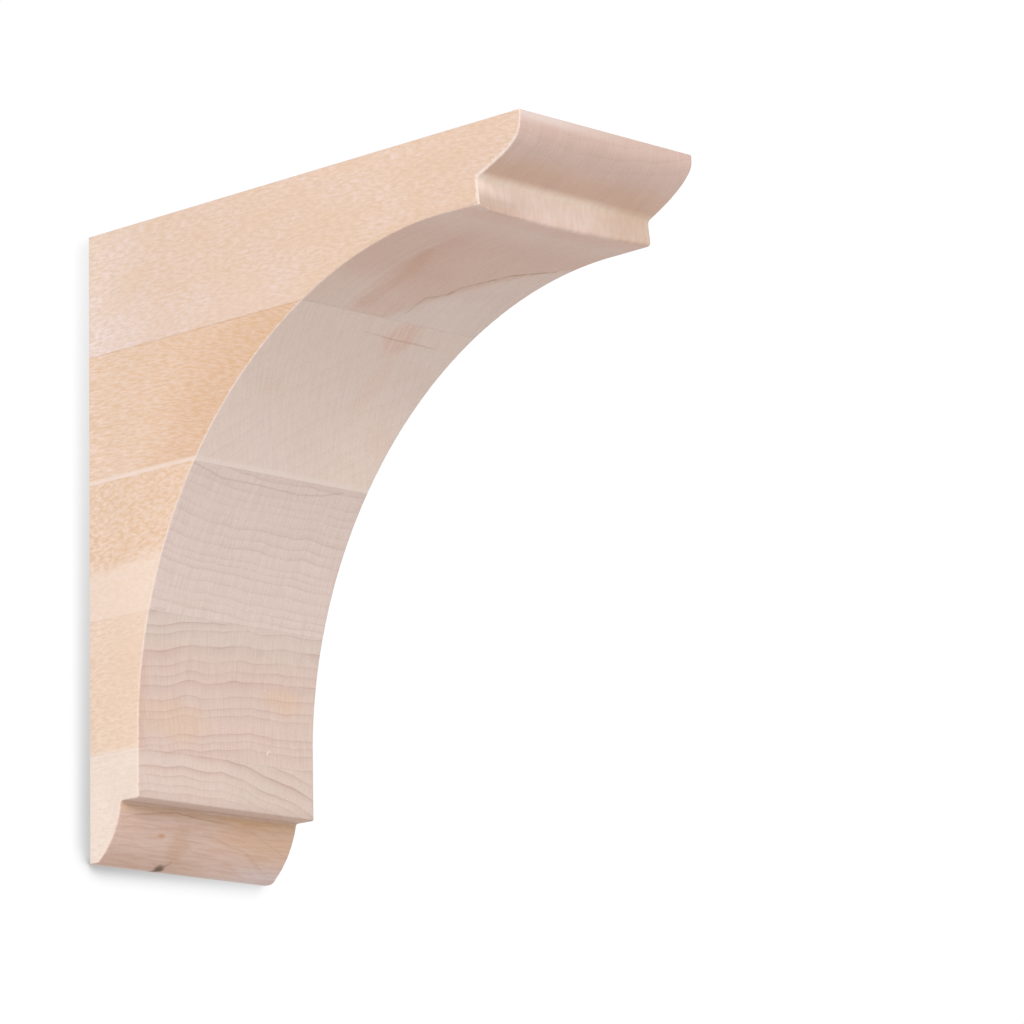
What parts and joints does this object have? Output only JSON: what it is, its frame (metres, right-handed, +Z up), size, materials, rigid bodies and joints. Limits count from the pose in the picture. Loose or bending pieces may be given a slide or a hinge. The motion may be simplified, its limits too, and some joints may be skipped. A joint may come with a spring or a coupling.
{
  "type": "wooden corbel bracket",
  "caption": "Bare maple corbel bracket glued up from flat boards: flat back and top, quarter-round hollow, moulded ogee nose and bowed foot. Holds up a shelf, mantel or beam.",
  "frame": {"origin": "middle of the flat back face that is fixed to the wall", "axes": "+Z up, +Y into the wall, so the nose reaches out along -Y; X runs along the wall and the part is the same on both sides of X = 0"},
  "size_m": [0.075, 0.1945, 0.203],
  "materials": {
    "top_board": "bare maple, planed and sanded, pale pinkish cream",
    "upper_board": "bare maple, planed and sanded, peach",
    "middle_board": "bare maple, planed and sanded, peach turning to pale cream",
    "lower_board": "bare maple, planed and sanded, soft peach",
    "foot_board": "bare maple, planed and sanded, pale cream"
  },
  "bodies": {
    "root": {"top_board": "top_board", "upper_board": "upper_board", "middle_board": "middle_board", "lower_board": "lower_board", "foot_board": "foot_board"}
  },
  "joints": []
}
